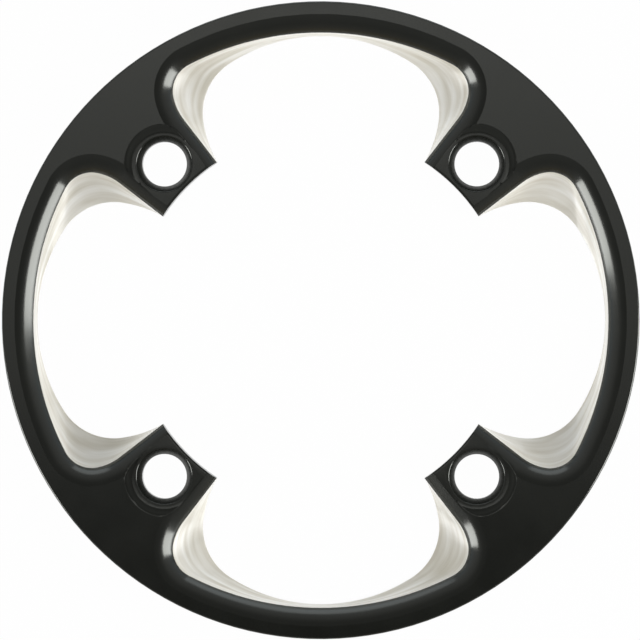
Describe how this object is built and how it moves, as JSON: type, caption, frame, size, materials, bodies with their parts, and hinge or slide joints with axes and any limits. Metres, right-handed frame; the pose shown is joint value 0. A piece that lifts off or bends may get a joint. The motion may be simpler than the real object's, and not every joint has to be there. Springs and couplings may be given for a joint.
{
  "type": "chainring guard",
  "caption": "Flat ring that guards a bicycle chainring, with inward bolt arms, wide windows, a crowned bevel round each window and sloped inner walls.",
  "frame": {"origin": "on the bolt circle's axis, in the plane of the back face that seats on the crank's arms", "axes": "+Z out of the front face along the crank axis; +X and +Y through the middles of two windows, so the bolt arms lie on the diagonals"},
  "size_m": [0.15, 0.15, 0.007],
  "materials": {
    "guard": "semi-gloss black anodised, with bare machined metal on the window walls"
  },
  "bodies": {
    "root": {"guard_ring": "guard"}
  },
  "joints": []
}
